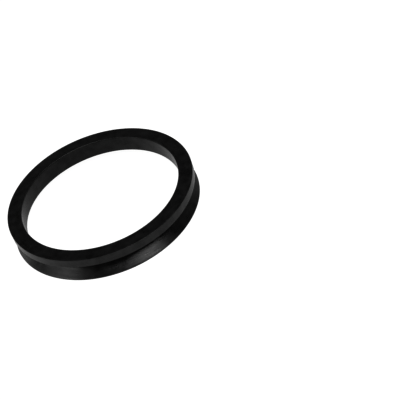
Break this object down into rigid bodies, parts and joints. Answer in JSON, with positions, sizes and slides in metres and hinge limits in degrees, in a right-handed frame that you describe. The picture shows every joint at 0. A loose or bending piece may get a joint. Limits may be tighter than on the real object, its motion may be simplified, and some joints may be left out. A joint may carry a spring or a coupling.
{
  "type": "v ring seal",
  "caption": "All-rubber V-ring shaft seal: a thick body grips the shaft, and a thin conical lip beyond a V groove runs against a flat face.",
  "frame": {"origin": "on the ring's axis, in the plane that the lip edge rests on", "axes": "+Z along the axis from the lip edge towards the flat back face; X and Y lie in the plane of the ring"},
  "size_m": [0.0794, 0.0794, 0.011],
  "materials": {
    "black_rubber": "satin black moulded nitrile rubber"
  },
  "bodies": {
    "root": {"v_ring": "black_rubber"}
  },
  "joints": []
}
